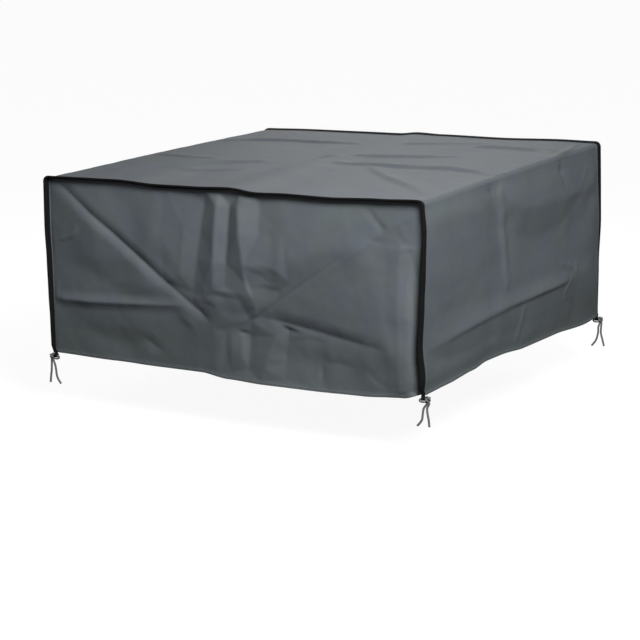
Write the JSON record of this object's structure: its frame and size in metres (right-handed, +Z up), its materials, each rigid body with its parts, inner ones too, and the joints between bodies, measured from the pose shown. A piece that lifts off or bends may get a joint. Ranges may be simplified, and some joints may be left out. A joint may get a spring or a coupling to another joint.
{
  "type": "patio furniture cover",
  "caption": "Square fitted outdoor cover for a low patio table, with bound seams at front and back and a tie at each lower corner.",
  "frame": {"origin": "underside of the cloth at the middle of the top, where the furniture underneath carries the cover", "axes": "+Z up, -Y out of the front panel, +X towards the right side; the hem is at the lowest z and the tie ends hang below it"},
  "size_m": [1.1974, 1.1881, 0.6167],
  "materials": {
    "coated_polyester": "slate grey coated polyester, soft satin",
    "binding_tape": "black woven tape, matt",
    "tie_cord": "grey braided cord, matt"
  },
  "bodies": {
    "root": {"wrap_panel": "coated_polyester", "front_panel": "coated_polyester", "back_panel": "coated_polyester", "front_binding": "binding_tape", "back_binding": "binding_tape", "tie_loop_front_left": "binding_tape", "tie_loop_front_right": "binding_tape", "tie_loop_back_right": "binding_tape", "tie_loop_back_left": "binding_tape", "tie_knot_front_left": "tie_cord", "tie_knot_front_right": "tie_cord", "tie_knot_back_right": "tie_cord", "tie_knot_back_left": "tie_cord", "cord_end_front_left_a": "tie_cord", "cord_end_front_left_b": "tie_cord", "cord_end_front_right_a": "tie_cord", "cord_end_front_right_b": "tie_cord", "cord_end_back_right_a": "tie_cord", "cord_end_back_right_b": "tie_cord", "cord_end_back_left_a": "tie_cord", "cord_end_back_left_b": "tie_cord"}
  },
  "joints": []
}
